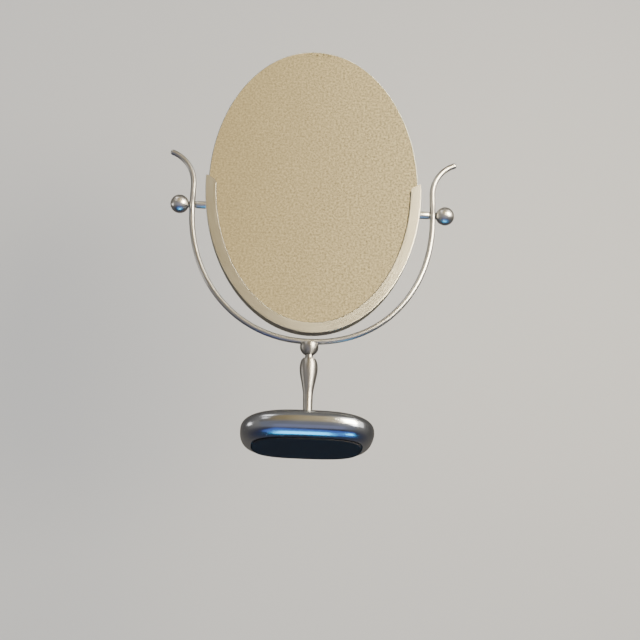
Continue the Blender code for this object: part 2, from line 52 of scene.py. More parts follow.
TIE_ROD_BORE = 2.9 * MM           # radius of the hole for the tie rod
STUD_BORE = 2.3 * MM
WELD = 0.01 * MM

# Glass oval and the pivot line
GLASS_LOW, GLASS_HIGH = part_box("mirror_glass")
GLASS_X = GLASS_HIGH.x
GLASS_Z = (GLASS_HIGH.z - GLASS_LOW.z) / 2
GLASS_MID = (GLASS_HIGH.z + GLASS_LOW.z) / 2
KNOB_LOW, KNOB_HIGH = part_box("ball_knob_right")
PIVOT_Z = (KNOB_LOW.z + KNOB_HIGH.z) / 2


# ---------------------------------------------------------------- node helpers

class Shade:
    """One material's node tree, built a node at a time."""

    def __init__(self, name):
        self.material = bpy.data.materials.new(name)
        self.material.use_nodes = True
        self.tree = self.material.node_tree
        self.surface = self.tree.nodes["Principled BSDF"]

    def feed(self, socket, value):
        if isinstance(value, bpy.types.NodeSocket):
            self.tree.links.new(value, socket)
        else:
            socket.default_value = value

    def add(self, kind, inputs=None, **settings):
        made = self.tree.nodes.new("ShaderNode" + kind)
        for key, value in settings.items():
            setattr(made, key, value)
        for key, value in (inputs or {}).items():
            self.feed(made.inputs[key], value)
        return made

    def place(self, stretch=(1, 1, 1), source="object", turn=(0, 0, 0)):
        """Coordinates in metres, stretched; source is the object's own space or a mesh attribute."""
        if source == "object":
            vector = self.add("TexCoord").outputs["Object"]
        else:
            vector = self.add("Attribute", attribute_name=source).outputs["Vector"]
        mapping = self.add("Mapping", {"Vector": vector, "Scale": stretch, "Rotation": turn})
        return mapping.outputs["Vector"]

    def noise(self, vector, scale, detail=3.0, rough=0.55):
        made = self.add("TexNoise", {"Vector": vector, "Scale": scale, "Detail": detail, "Roughness": rough})
        return made.outputs["Fac"]

    def ramp(self, value, low, high, start=0.0, end=1.0, smooth=False):
        kind = "SMOOTHSTEP" if smooth else "LINEAR"
        made = self.add("MapRange", {"Value": value, "From Min": low, "From Max": high,
                                     "To Min": start, "To Max": end}, interpolation_type=kind)
        return made.outputs["Result"]

    def math(self, operation, a, b=0.0):
        made = self.add("Math", operation=operation)
        self.feed(made.inputs[0], a)
        self.feed(made.inputs[1], b)
        return made.outputs[0]

    def line(self, value, centre, width):
        """1 where value is within width of centre, falling to 0: thin scratches out of smooth noise."""
        away = self.math("ABSOLUTE", self.math("SUBTRACT", value, centre))
        return self.ramp(away, 0.0, width, 1.0, 0.0)

    def mix(self, factor, a, b):
        made = self.add("MixRGB", {"Fac": factor})
        self.feed(made.inputs["Color1"], a if isinstance(a, bpy.types.NodeSocket) else (*a, 1.0))
        self.feed(made.inputs["Color2"], b if isinstance(b, bpy.types.NodeSocket) else (*b, 1.0))
        return made.outputs["Color"]

    def scale(self, tone, factor):
        """A colour made darker or lighter by a factor that can be a socket."""
        made = self.add("VectorMath", operation="SCALE")
        self.feed(made.inputs[0], tone)
        self.feed(made.inputs["Scale"], factor)
        return made.outputs[0]

    def bump(self, height, distance):
        made = self.add("Bump", {"Height": height, "Distance": distance, "Strength": 1.0})
        self.feed(self.surface.inputs["Normal"], made.outputs["Normal"])

    def set(self, **inputs):
        names = {"color": "Base Color", "metal": "Metallic", "rough": "Roughness",
                 "aniso": "Anisotropic", "spin": "Anisotropic Rotation", "coat": "Coat Weight",
                 "shine": "Specular IOR Level"}
        for key, value in inputs.items():
            if key == "color" and not isinstance(value, bpy.types.NodeSocket):
                value = (*value, 1.0)
            self.feed(self.surface.inputs[names[key]], value)


def shaded(color, factor):
    return tuple(channel * factor for channel in color)


def brushed_metal(name, tint, rough, stretch, source="object", grain=0.10, depth=0.000012, marks=0.5,
                  turned="", pull=0.0):
    """Metal with a brushing grain, blotches of handling and a few fine scratches.

    turned names the axis that the grain runs round, and pull is how far it draws highlights out.
    """
    look = Shade(name)
    streak = look.noise(look.place(stretch, source), 1.0, 5.0, 0.6)
    blotch = look.noise(look.place(), 38.0, 4.0, 0.6)
    haze = look.noise(look.place(turn=(0.4, 0.3, 0.9)), 9.0, 2.0, 0.5)
    wander = look.noise(look.place((60, 14, 30), turn=(0.5, 0.2, 0.7)), 1.0, 1.0, 0.4)
    scratch = look.line(wander, 0.47, 0.004)
    spots = look.ramp(look.noise(look.place(), 420.0, 2.0, 0.5), 0.66, 0.74)
    tone = look.mix(look.ramp(streak, 0.3, 0.7), shaded(tint, 0.90), tint)
    handled = look.math("MULTIPLY", look.ramp(blotch, 0.45, 0.75), 0.35 * marks)
    tone = look.mix(handled, tone, shaded(tint, 0.72))
    tone = look.mix(look.math("MULTIPLY", spots, 0.35 * marks), tone, shaded(tint, 0.45))
    base = look.ramp(streak, 0.25, 0.75, rough - grain / 2, rough + grain / 2)
    worn = look.math("MULTIPLY", look.ramp(haze, 0.4, 0.7), 0.10 * marks)
    cuts = look.math("MULTIPLY", scratch, 0.15 * marks)
    total = look.math("ADD", look.math("ADD", base, worn), cuts)
    look.set(color=tone, metal=1.0, rough=total)
    if turned:
        look.set(aniso=pull, spin=0.25)
        tangent = look.add("Tangent", direction_type="RADIAL", axis=turned)
        look.feed(look.surface.inputs["Tangent"], tangent.outputs[0])
    height = look.math("SUBTRACT", streak, look.math("MULTIPLY", scratch, 0.5 * marks))
    look.bump(height, depth)
    return look.material


def matt(name, color, rough, scale, depth, spread=0.35, shine=0.5):
    """A dull non-metal with a fine grain and a slow change of tone."""
    look = Shade(name)
    fine = look.noise(look.place(), scale, 4.0, 0.65)
    slow = look.noise(look.place(), scale / 24, 3.0, 0.5)
    tone = look.mix(look.ramp(fine, 0.35, 0.7), shaded(color, 1 - spread), shaded(color, 1 + spread))
    tone = look.mix(look.math("MULTIPLY", look.ramp(slow, 0.4, 0.7), 0.4), tone, shaded(color, 0.7))
    look.set(color=tone, rough=look.ramp(slow, 0.3, 0.7, rough - 0.06, rough + 0.06), shine=shine)
    look.bump(fine, depth)
    return look.material


# ---------------------------------------------------------------- looks

LOOKS = {
    "polished_shell": brushed_metal("polished_shell", (0.36, 0.39, 0.45), 0.18, (30, 30, 260),
                                    grain=0.06, depth=0.000008, marks=0.4),
    "satin_rod": brushed_metal("satin_rod", (0.38, 0.383, 0.39), 0.34, (60, 2600, 2600), "grain"),
    "satin_turned": brushed_metal("satin_turned", (0.35, 0.35, 0.35), 0.40, (90, 90, 1700),
                                  turned="Z", pull=0.7),
    "satin_knob": brushed_metal("satin_knob", (0.48, 0.48, 0.48), 0.30, (1400, 90, 90),
                                turned="X", pull=0.45),
    "satin_lip": brushed_metal("satin_lip", (0.40, 0.395, 0.350), 0.36, (45, 1500, 1500), "grain",
                               grain=0.14, depth=0.00002),
    "satin_post": brushed_metal("satin_post", (0.56, 0.56, 0.55), 0.33, (1500, 90, 90)),
    "zinc_steel": brushed_metal("zinc_steel", (0.50, 0.50, 0.48), 0.38, (300, 300, 300), marks=1.0),
    "cast_iron": matt("cast_iron", (0.16, 0.16, 0.16), 0.70, 900.0, 0.0003),
    "back_paint": matt("back_paint", (0.07, 0.07, 0.075), 0.62, 2400.0, 0.00006, shine=0.15),
    "liner_rubber": matt("liner_rubber", (0.022, 0.021, 0.02), 0.62, 1800.0, 0.00005),
    "fibre_washer": matt("fibre_washer", (0.09, 0.085, 0.08), 0.66, 2200.0, 0.00008),
}


def foam_look():
    look = Shade("foam_pad")
    cells = look.add("TexVoronoi", {"Vector": look.place(), "Scale": 1500.0}, feature="F1")
    pores = look.ramp(cells.outputs["Distance"], 0.1, 0.6)
    slow = look.noise(look.place(), 30.0, 4.0, 0.6)
    tone = look.mix(pores, (0.016, 0.015, 0.017), (0.048, 0.046, 0.050))
    tone = look.mix(look.math("MULTIPLY", look.ramp(slow, 0.45, 0.75), 0.6), tone, (0.070, 0.067, 0.068))
    look.set(color=tone, rough=look.ramp(slow, 0.3, 0.7, 0.70, 0.86), shine=0.2)
    look.bump(pores, 0.00025)
    return look.material


def silver_look():
    """The silvered face: faint wiping haze, dust, a dulled rim along the top and worn specks below it."""
    look = Shade("mirror_silver")
    place = look.place()
    split = look.add("SeparateXYZ", {"Vector": place})
    high = look.ramp(split.outputs["Z"], GLASS_MID + GLASS_Z - 0.0090, GLASS_MID + GLASS_Z - 0.0050)
    across = look.math("ABSOLUTE", look.math("SUBTRACT", split.outputs["X"], 0.012))
    near = look.ramp(across, 0.014, 0.030, 1.0, 0.0)
    specks = look.ramp(look.noise(look.place((1.0, 1.0, 1.4)), 560.0, 3.0, 0.6), 0.50, 0.60)
    worn = look.math("MULTIPLY", look.math("MULTIPLY", high, near), specks)
    out = look.math("DIVIDE", split.outputs["X"], GLASS_X)
    up = look.math("DIVIDE", look.math("SUBTRACT", split.outputs["Z"], GLASS_MID), GLASS_Z)
    reach = look.math("ADD", look.math("MULTIPLY", out, out), look.math("MULTIPLY", up, up))
    rim = look.math("MULTIPLY", look.ramp(reach, 0.968, 0.984), look.ramp(up, 0.84, 0.985))
    dust = look.ramp(look.noise(place, 900.0, 2.0, 0.5), 0.70, 0.76)
    wipe = look.ramp(look.noise(look.place((18, 18, 5), turn=(0, 0.5, 0)), 1.0, 4.0, 0.6), 0.4, 0.75)
    tone = look.mix(look.math("MULTIPLY", wipe, 0.25), (0.93, 0.94, 0.91), (0.86, 0.87, 0.85))
    tone = look.mix(look.math("MULTIPLY", dust, 0.18), tone, (0.55, 0.55, 0.53))
    tone = look.mix(look.math("MULTIPLY", worn, 0.85), tone, (0.28, 0.28, 0.26))
    rough = look.math("ADD", look.math("MULTIPLY", wipe, 0.012), look.math("MULTIPLY", dust, 0.10))
    look.set(color=tone, metal=1.0, rough=look.math("ADD", rough, look.math("MULTIPLY", rim, 0.34)))
    return look.material


def glass_edge_look():
    """The ground edge: pale, faintly green, with fine grinding lines."""
    look = Shade("glass_edge")
    grind = look.noise(look.place((500, 500, 120)), 6.0, 4.0, 0.6)
    tone = look.mix(grind, (0.42, 0.46, 0.42), (0.66, 0.69, 0.64))
    look.set(color=tone, rough=look.ramp(grind, 0.3, 0.7, 0.22, 0.42), metal=0.35, coat=0.4)
    look.bump(grind, 0.00003)
    return look.material


LOOKS["foam_pad"] = foam_look()
LOOKS["mirror_silver"] = silver_look()
LOOKS["glass_edge"] = glass_edge_look()


# ---------------------------------------------------------------- mesh helpers

SHARP = math.radians(38)


def grid_object(name, rows, looks, wrap=True, cap_start=None, cap_end=None, close=False, grain=None):
    """A mesh from rows of points: each row a ring when wrap is true.

    cap_start and cap_end are "fan", "fill" or None; close joins the last row to the first.
    grain gives each point a place along and across the brushing.
    """
    bm = bmesh.new()
    layer = bm.verts.layers.float_vector.new("grain") if grain else None
    table = []
    for i, row in enumerate(rows):
        line = []
        for j, point in enumerate(row):
            vert = bm.verts.new(point)
            if layer:
                vert[layer] = grain[i][j]
            line.append(vert)
        table.append(line)
    count = len(rows[0])
    last = count if wrap else count - 1
    spans = len(table) if close else len(table) - 1
    for i in range(spans):
        a = table[i]
        b = table[(i + 1) % len(table)]
        for j in range(last):
            k = (j + 1) % count
            bm.faces.new((a[j], a[k], b[k], b[j]))
    for line, how in ((table[0], cap_start), (table[-1], cap_end)):
        if how == "fan":
            middle = bm.verts.new(sum((v.co for v in line), Vector()) / count)
            if layer:
                middle[layer] = line[0][layer]
            for j in range(count):
                bm.faces.new((line[j], line[(j + 1) % count], middle))
        elif how == "fill":
            face = bm.faces.new(line)
            bmesh.ops.triangulate(bm, faces=[face])
    bmesh.ops.recalc_face_normals(bm, faces=bm.faces)
    return finish_mesh(name, bm, looks)


def finish_mesh(name, bm, looks):
    for edge in bm.edges:
        if len(edge.link_faces) == 2:
            edge.smooth = edge.calc_face_angle() < SHARP
    for face in bm.faces:
        face.smooth = True
    mesh = bpy.data.meshes.new(name)
    bm.to_mesh(mesh)
    bm.free()
    made = bpy.data.objects.new(name, mesh)
    bpy.context.scene.collection.objects.link(made)
    for look in looks if isinstance(looks, (list, tuple)) else [looks]:
        mesh.materials.append(LOOKS[look])
    return made


def stands_for(made, body, slot, *nodes):
    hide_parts(*nodes)
    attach(made, body)
    return made


def flowing(points, steps):
    """A smooth line through points, with steps pieces between neighbours."""
    def between(a, b, c, d, t):
        square = 2 * a - 5 * b + 4 * c - d
        cube = 3 * b - a - 3 * c + d
        return 0.5 * (2 * b + (c - a) * t + square * t ** 2 + cube * t ** 3)

    line = []
    count = len(points)
    for i in range(count - 1):
        four = [points[max(i - 1, 0)], points[i], points[i + 1], points[min(i + 2, count - 1)]]
        for step in range(steps):
            line.append(tuple(between(*values, step / steps) for values in zip(*four)))
    line.append(tuple(points[-1]))
    return line


def filled_in(outline, pitch):
    """A closed outline with extra points along its long flats, about pitch apart."""
    filled = []
    for a, b in zip(outline, outline[1:] + outline[:1]):
        filled.append(a)
        pieces = int(abs(b[0] - a[0]) / pitch)
        for step in range(1, pieces):
            filled.append((a[0] + (b[0] - a[0]) * step / pieces, a[1] + (b[1] - a[1]) * step / pieces))
    return filled


def eased(points, radius, steps=5):
    """A closed outline with every corner rounded by about radius."""
    line = []
    count = len(points)
    for i in range(count):
        corner = Vector(points[i])
        before = Vector(points[i - 1]) - corner
        after = Vector(points[(i + 1) % count]) - corner
        start = corner + before.normalized() * min(radius, before.length * 0.45)
        stop = corner + after.normalized() * min(radius, after.length * 0.45)
        for step in range(steps + 1):
            t = step / steps
            line.append(tuple((1 - t) ** 2 * start + 2 * t * (1 - t) * corner + t ** 2 * stop))
    return line


def lathe(name, outline, look, segments=96, axis="z", side=1, closed=True):
    """A turned piece from a closed outline of (radius, height) points."""
    rows = []
    for radius, height in outline:
        row = []
        for j in range(segments):
            angle = 2 * math.pi * j / segments
            u = radius * math.cos(angle)
            v = radius * math.sin(angle)
            if axis == "z":
                row.append((u, v, height))
            else:
                row.append((side * height, u, PIVOT_Z + v))
        rows.append(row)
    if closed:
        return grid_object(name, rows, look, close=True)
    return grid_object(name, rows, look, cap_start="fan", cap_end="fan")


# ---------------------------------------------------------------- base

BASE_LOW, BASE_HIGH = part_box("base_shell")
HALF_WIDTH = BASE_HIGH.x
HALF_DEPTH = BASE_HIGH.y
TOP_Z = BASE_HIGH.z
RIM_Z = BASE_LOW.z
EQUATOR_Z = 15.2 * MM
SQUARENESS = 3.0
RIM_INSET = 11.5 * MM
RIM_TURN = 0.97
CROWN_SQUARENESS = 2.57
CROWN_LAST = math.radians(84)     # last ring of the hollow, as an angle up the section
CROWN_HOLE = 5.0 * MM             # rings narrower than this give way to the tie rod's hole
SHELL_WALL = 1.2 * MM
ROUND = 192
UNDER_STEPS = 28
CROWN_STEPS = 60
HOLLOW_CROWN_STEPS = 30
HOLLOW_SIDE_STEPS = 12
RIM_ROLL = ((0.2, 1.0), (0.05, 0.92), (0.0, 0.7), (0.0, 0.3), (0.03, 0.08), (0.15, 0.0))
PAD_OUTLINE = (                   # height and inset down the pad's side, in millimetres
    (0.0, 1.2), (0.0, 0.5), (0.15, 0.12), (0.5, 0.0), (1.8, 0.0), (2.15, 0.12), (2.3, 0.5), (2.3, 1.2),
)


def pebble_halves(z):
    """Half width and half depth of the base's form at a height."""
    if z <= EQUATOR_Z:
        depth = RIM_TURN * (EQUATOR_Z - z) / (EQUATOR_Z - RIM_Z)
        inset = RIM_INSET * (1 - math.sqrt(1 - depth ** 2)) / (1 - math.sqrt(1 - RIM_TURN ** 2))
        return HALF_WIDTH - inset, HALF_DEPTH - inset
    rise = min(1.0, (z - EQUATOR_Z) / (TOP_Z - EQUATOR_Z))
    scale = max(0.0, 1 - rise ** CROWN_SQUARENESS) ** (1 / CROWN_SQUARENESS)
    return HALF_WIDTH * scale, HALF_DEPTH * scale


def squircle(half_x, half_y, z, power=SQUARENESS):
    row = []
    for j in range(ROUND):
        angle = 2 * math.pi * j / ROUND
        c = math.cos(angle)
        s = math.sin(angle)
        reach = (abs(c / half_x) ** power + abs(s / half_y) ** power) ** (-1 / power)
        row.append((reach * c, reach * s, z))
    return row


def shell_row(z, inset=0.0):
    """One ring of the base's form, moved inward along the surface by an inset."""
    half_x, half_y = pebble_halves(z)
    step = 0.005 * MM
    slope = (half_y - pebble_halves(z - step)[1]) / step
    length = math.hypot(1.0, slope)
    return squircle(half_x - inset / length, half_y - inset / length, z + inset * slope / length)


def base_shell():
    lower = EQUATOR_Z - RIM_Z
    upper = TOP_Z - EQUATOR_Z
    rows = []
    under = math.asin(RIM_TURN)
    for i in range(1, UNDER_STEPS + 1):
        depth = math.sin(under * (1 - i / UNDER_STEPS)) / RIM_TURN
        z = EQUATOR_Z - lower * depth
        rows.append(squircle(*pebble_halves(z), z))
    for i in range(1, CROWN_STEPS + 1):
        angle = math.pi / 2 * i / CROWN_STEPS
        z = EQUATOR_Z + upper * math.sin(angle) ** (2 / CROWN_SQUARENESS)
        if pebble_halves(z)[1] < CROWN_HOLE:
            break
        rows.append(squircle(*pebble_halves(z), z))
    for z in (TOP_Z, TOP_Z - SHELL_WALL):
        rows.append(squircle(TIE_ROD_BORE, TIE_ROD_BORE, z, 2.0))
    for i in range(HOLLOW_CROWN_STEPS, -1, -1):
        z = EQUATOR_Z + upper * math.sin(CROWN_LAST * i / HOLLOW_CROWN_STEPS)
        rows.append(shell_row(z, SHELL_WALL))
    for i in range(HOLLOW_SIDE_STEPS, 0, -1):
        rows.append(shell_row(RIM_Z + lower * i / (HOLLOW_SIDE_STEPS + 1), SHELL_WALL))
    for lift, inset in RIM_ROLL:
        rows.append(shell_row(RIM_Z + lift * MM, SHELL_WALL * inset))
    made = grid_object("base_shell_skin", rows, "polished_shell", close=True)
    return stands_for(made, "base", "polished_shell", "base_shell")


def base_pad():
    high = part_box("base_pad")[1]
    rows = [squircle(high.x - inset * MM, high.y - inset * MM, z * MM) for z, inset in PAD_OUTLINE]
    made = grid_object("base_pad_foam", rows, "foam_pad", cap_start="fan", cap_end="fan")
    return stands_for(made, "base", "foam_pad", "base_pad")


# ---------------------------------------------------------------- stem and ball

STEM_OUTLINE = (                  # radius and height down the turned outside, in millimetres
    (6.6, 96.1), (7.9, 94.2), (8.8, 91.2), (9.3, 87.6), (9.35, 84.5), (8.8, 79.5),
    (7.7, 73.5), (6.5, 67.5), (5.5, 62.0), (5.05, 57.5), (4.95, 52.0), (4.8, 46.0),
    (4.75, 41.5), (4.9, 38.8), (5.4, 36.8), (6.1, 35.4),
)


STEM_SHOULDER = ((2.9, 96.6), (4.6, 96.6), (5.6, 96.55))
STEM_FOOT = ((6.2, 34.9), (6.15, 34.5), (5.9, 34.3), (2.9, 34.3))
COLLAR_EASE = 0.4 * MM
ROD_Z = 115.2 * MM                # centreline of the yoke rod at its lowest
ROD_RADIUS = 3.0 * MM
BALL_CENTRE_Z = 109.4 * MM
BALL_SEGMENTS = 96
BALL_TOP_STEPS = 20
BALL_SIDE_STEPS = 40


def stem():
    low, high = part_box("stem")
    line = list(STEM_SHOULDER) + flowing(STEM_OUTLINE, 6) + list(STEM_FOOT)
    outline = [(radius * MM, min(high.z, max(low.z, z * MM))) for radius, z in line]
    made = lathe("stem_turning", outline, "satin_turned")
    return stands_for(made, "base", "satin_steel", "stem")


def collar():
    low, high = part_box("neck_collar")
    bore = TIE_ROD_BORE
    outline = eased([(bore, low.z), (high.x, low.z), (high.x, high.z), (bore, high.z)], COLLAR_EASE)
    made = lathe("neck_collar_turning", outline, "satin_turned")
    return stands_for(made, "yoke", "satin_steel", "neck_collar")


def ball_row(reach, level):
    """One ring of the ball, with the saddle for the yoke rod pressed into it."""
    groove = ROD_RADIUS + GAP
    row = []
    for j in range(BALL_SEGMENTS):
        angle = 2 * math.pi * j / BALL_SEGMENTS
        y = reach * math.sin(angle)
        z = level
        if abs(y) < groove and level > ROD_Z - groove:
            z = min(level, ROD_Z - math.sqrt(groove ** 2 - y ** 2))
        row.append((reach * math.cos(angle), y, z))
    return row


def ball():
    low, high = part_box("yoke_ball")
    radius = high.x
    top_angle = math.asin((high.z - BALL_CENTRE_Z) / radius)
    low_angle = math.asin((low.z - BALL_CENTRE_Z) / radius)
    flat_radius = radius * math.cos(top_angle)
    rows = []
    for i in range(2, BALL_TOP_STEPS + 1):
        rows.append(ball_row(flat_radius * i / BALL_TOP_STEPS, high.z))
    for i in range(1, BALL_SIDE_STEPS + 1):
        angle = top_angle + (low_angle - top_angle) * i / BALL_SIDE_STEPS
        rows.append(ball_row(radius * math.cos(angle), BALL_CENTRE_Z + radius * math.sin(angle)))
    made = grid_object("yoke_ball_turning", rows, "satin_turned", cap_start="fan", cap_end="fan")
    return stands_for(made, "yoke", "satin_steel", "yoke_ball")


# ---------------------------------------------------------------- yoke

HALF_SPAN = 130.5 * MM
YOKE_SQUARENESS = 2.13
CURL_START = 291.0 * MM
CURL_RUN = 36.7 * MM
CURL_RISE = 40.0 * MM
CURL_ANGLE = math.radians(75)
ROD_SEGMENTS = 40
ROD_PITCH = 0.9 * MM              # shortest step along the rod
TIP_LENGTH = 3.2 * MM             # rounded end of the rod
TIP_STEPS = 10
TIP_FULLNESS = 2.4
TIP_RADIUS = 0.25 * MM
SWELL_LENGTH = 12.0 * MM          # the rod swells front and back round the pivot hole
SWELL_DEPTH = 4.4 * MM
U_STEPS = 120
ARM_STEPS = 13
CURL_STEPS = 48


def yoke_line():
    """Right half of the rod's centreline, from the bottom's middle to the tip."""
    points = []
    for i in range(U_STEPS + 1):
        angle = math.pi / 2 * i / U_STEPS
        x = HALF_SPAN * math.sin(angle) ** (2 / YOKE_SQUARENESS)
        z = PIVOT_Z - (PIVOT_Z - ROD_Z) * math.cos(angle) ** (2 / YOKE_SQUARENESS)
        points.append(Vector((x, 0, z)))
    for i in range(ARM_STEPS):
        points.append(Vector((HALF_SPAN, 0, PIVOT_Z + (CURL_START - PIVOT_Z) * i / ARM_STEPS)))
    for i in range(CURL_STEPS + 1):
        angle = CURL_ANGLE * i / CURL_STEPS
        x = HALF_SPAN + CURL_RUN * (1 - math.cos(angle))
        points.append(Vector((x, 0, CURL_START + CURL_RISE * math.sin(angle))))
    return points


def yoke_path():
    """The whole centreline with close points dropped, and the length run at each point."""
    right = yoke_line()
    left = [Vector((-p.x, p.y, p.z)) for p in reversed(right[1:])]
    whole = left + right
    path = [whole[0]]
    for point in whole[1:]:
        if (point - path[-1]).length > ROD_PITCH:
            path.append(point)
    path[-1] = whole[-1]
    run = [0.0]
    for a, b in zip(path, path[1:]):
        run.append(run[-1] + (b - a).length)
    return path, run


def rod_places(run):
    """Lengths along the rod that get a ring, close together at the two tips."""
    total = run[-1]
    tips = [TIP_LENGTH * (1 - math.cos(math.pi / 2 * i / TIP_STEPS)) for i in range(1, TIP_STEPS + 1)]
    places = [total - t for t in tips] + tips + [0.0, total]
    places += [s for s in run if TIP_LENGTH * 1.2 < s < total - TIP_LENGTH * 1.2]
    return sorted(places)


def rod_radii(s, total, z):
    """The rod's radius across its plane, and front to back, at length s and height z."""
    end = min(s, total - s)
    radius = ROD_RADIUS
    if end < TIP_LENGTH:
        radius *= max(0.0, 1 - (1 - end / TIP_LENGTH) ** TIP_FULLNESS) ** 0.5
        radius = max(radius, TIP_RADIUS)
    away = abs(z - PIVOT_Z) / SWELL_LENGTH
    if away < 1:
        return radius, radius + (SWELL_DEPTH - ROD_RADIUS) * (1 - away ** 2) ** 2
    return radius, radius


def yoke():
    path, run = yoke_path()
    total = run[-1]
    rows = []
    grain = []
    index = 0
    for s in rod_places(run):
        while index < len(run) - 2 and run[index + 1] < s:
            index += 1
        share = min(1.0, max(0.0, (s - run[index]) / (run[index + 1] - run[index])))
        point = path[index].lerp(path[index + 1], share)
        ahead = (path[min(index + 2, len(path) - 1)] - path[max(index - 1, 0)]).normalized()
        across = Vector((ahead.z, 0, -ahead.x))
        radius, depth = rod_radii(s, total, point.z)
        row = []
        marks = []
        for j in range(ROD_SEGMENTS):
            angle = 2 * math.pi * j / ROD_SEGMENTS
            u = math.cos(angle) * radius
            v = math.sin(angle) * depth
            row.append(point + across * u + Vector((0, 1, 0)) * v)
            marks.append((s, u, v))
        rows.append(row)
        grain.append(marks)
    made = grid_object("yoke_rod_bar", rows, "satin_rod", cap_start="fan", cap_end="fan", grain=grain)
    return stands_for(made, "yoke", "satin_steel", "yoke_rod")


# ---------------------------------------------------------------- pivots and knobs

CHANNEL_OFFSET = 3.0 * MM         # channel's outer face beyond the glass edge
PIVOT_SEGMENTS = 64
STUD_DEPTH = 8.0 * MM
POST_EASE = 0.5 * MM
WASHER_EASE = 0.2 * MM
KNOB_BORE_END = 1.0 * MM          # bore's end short of the knob's centre
KNOB_EASE = math.radians(4)       # rounding between the knob's face and its ball
KNOB_FACE_EASE = 0.35 * MM
KNOB_CROWN = math.radians(89.2)
KNOB_STEPS = 56
KNOB_SEGMENTS = 96


def oval_reach(z, grow):
    """Half width of the glass oval, grown by grow, at height z."""
    rise = (z - GLASS_MID) / (GLASS_Z + grow)
    return (GLASS_X + grow) * math.sqrt(max(0.0, 1 - rise ** 2))


def pivot_post(side, label):
    low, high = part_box("pivot_post_right")
    radius = (high.z - low.z) / 2
    top = high.x
    rings = ((STUD_BORE, top - STUD_DEPTH), (STUD_BORE, top), (radius - POST_EASE, top),
             (radius - 0.3 * POST_EASE, top - 0.3 * POST_EASE), (radius, top - POST_EASE), (radius, None))
    rows = []
    for reach, place in rings:
        row = []
        for j in range(PIVOT_SEGMENTS):
            angle = 2 * math.pi * j / PIVOT_SEGMENTS
            z = PIVOT_Z + reach * math.sin(angle)
            x = oval_reach(z, CHANNEL_OFFSET + GAP) if place is None else place
            row.append((side * x, reach * math.cos(angle), z))
        rows.append(row)
    made = grid_object("pivot_post_" + label + "_turning", rows, "satin_post",
                       cap_start="fan", cap_end="fan")
    return stands_for(made, "mirror", "satin_aluminium", "pivot_post_" + label)


def washer(side, label, kind, body):
    low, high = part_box(kind + "_washer_right")
    radius = (high.z - low.z) / 2
    corners = [(STUD_BORE, low.x), (radius, low.x), (radius, high.x), (STUD_BORE, high.x)]
    made = lathe(kind + "_washer_" + label + "_disc", eased(corners, WASHER_EASE), "fibre_washer",
                 PIVOT_SEGMENTS, "x", side)
    return stands_for(made, body, "fibre_washer", kind + "_washer_" + label)


def ball_knob(side, label):
    low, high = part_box("ball_knob_right")
    radius = (high.z - low.z) / 2
    centre = high.x - radius
    stop = -math.asin((centre - low.x) / radius)
    outline = [(STUD_BORE, centre - KNOB_BORE_END), (STUD_BORE, low.x),
               (radius * math.cos(stop) - KNOB_FACE_EASE, low.x)]
    start = stop + KNOB_EASE
    for i in range(KNOB_STEPS + 1):
        angle = start + (KNOB_CROWN - start) * i / KNOB_STEPS
        outline.append((radius * math.cos(angle), centre + radius * math.sin(angle)))
    made = lathe("ball_knob_" + label + "_turning", outline, "satin_knob", KNOB_SEGMENTS, "x", side,
                 closed=False)
    return stands_for(made, "knob_" + label, "satin_steel", "ball_knob_" + label)


# ---------------------------------------------------------------- glass, channel and liner

LIP = 11.5 * MM
WALL = 1.5 * MM
HALF_CHANNEL = 5.55 * MM
END_RISE = 4.9 * MM
END_FLAT = 2.5 * MM
END_DROP = 5.8 * MM
END_CORNER = 3.5 * MM
LIP_EASE = 0.55 * MM              # rounding of the channel's edges
FLAT_PITCH = 0.7 * MM
LINER_FLOOR = 0.9 * MM
LINER_WALL = 0.7 * MM
LINER_GAP = 0.25 * MM
LINER_SHOW = 0.6 * MM             # liner visible past the lip
LINER_EASE = 0.2 * MM
LINER_END_DROP = 0.4 * MM
GLASS_BEVEL = 0.9 * MM
FACE_RING = 30.0 * MM             # innermost ring of the glass face, in from the edge
BOARD_RING = 20.0 * MM
BOARD_EASE = 0.4 * MM


def end_height(inset, rise):
    """Height of the channel's end above the glass centre, at a distance inside its outer face."""
    slope = END_DROP / (LIP - END_FLAT)
    blend = 1.2 * MM
    if inset <= END_FLAT - blend:
        return rise
    if inset <= END_FLAT + blend:
        t = (inset - END_FLAT + blend) / (2 * blend)
        return rise - slope * blend * t ** 2
    if inset <= LIP - END_CORNER:
        return rise - slope * (inset - END_FLAT)
    t = 1 - math.sqrt(max(0.0, (LIP - inset) / END_CORNER))
    start = rise - slope * (LIP - END_CORNER - END_FLAT)
    corner = rise - END_DROP
    return (1 - t) ** 2 * start + 2 * t * (1 - t) * corner + t ** 2 * (corner - END_CORNER)


def half_moon(name, outline, look, rise, steps=168, grow=0.0):
    """A band along the lower half of the oval, from a closed outline of (inset, y) points."""
    rows = []
    grain = []
    for i in range(steps + 1):
        row = []
        marks = []
        for inset, y in outline:
            half_x = GLASS_X + CHANNEL_OFFSET - inset
            half_z = GLASS_Z + CHANNEL_OFFSET - inset
            end = math.asin(end_height(inset - grow, rise) / half_z)
            angle = end - (math.pi + 2 * end) * i / steps
            row.append((half_x * math.cos(angle), y, GLASS_MID + half_z * math.sin(angle)))
            marks.append((angle * 0.14, inset, y))
        rows.append(row)
        grain.append(marks)
    return grid_object(name, rows, look, cap_start="fill", cap_end="fill", grain=grain)


def channel():
    depth = HALF_CHANNEL
    groove = depth - WALL
    corners = [(0.0, -depth), (LIP, -depth), (LIP, -groove), (WALL, -groove),
               (WALL, groove), (LIP, groove), (LIP, depth), (0.0, depth)]
    outline = filled_in(eased(corners, LIP_EASE, 4), FLAT_PITCH)
    made = half_moon("mirror_frame_channel", outline, "satin_lip", END_RISE)
    return stands_for(made, "mirror", "satin_aluminium", "mirror_frame")


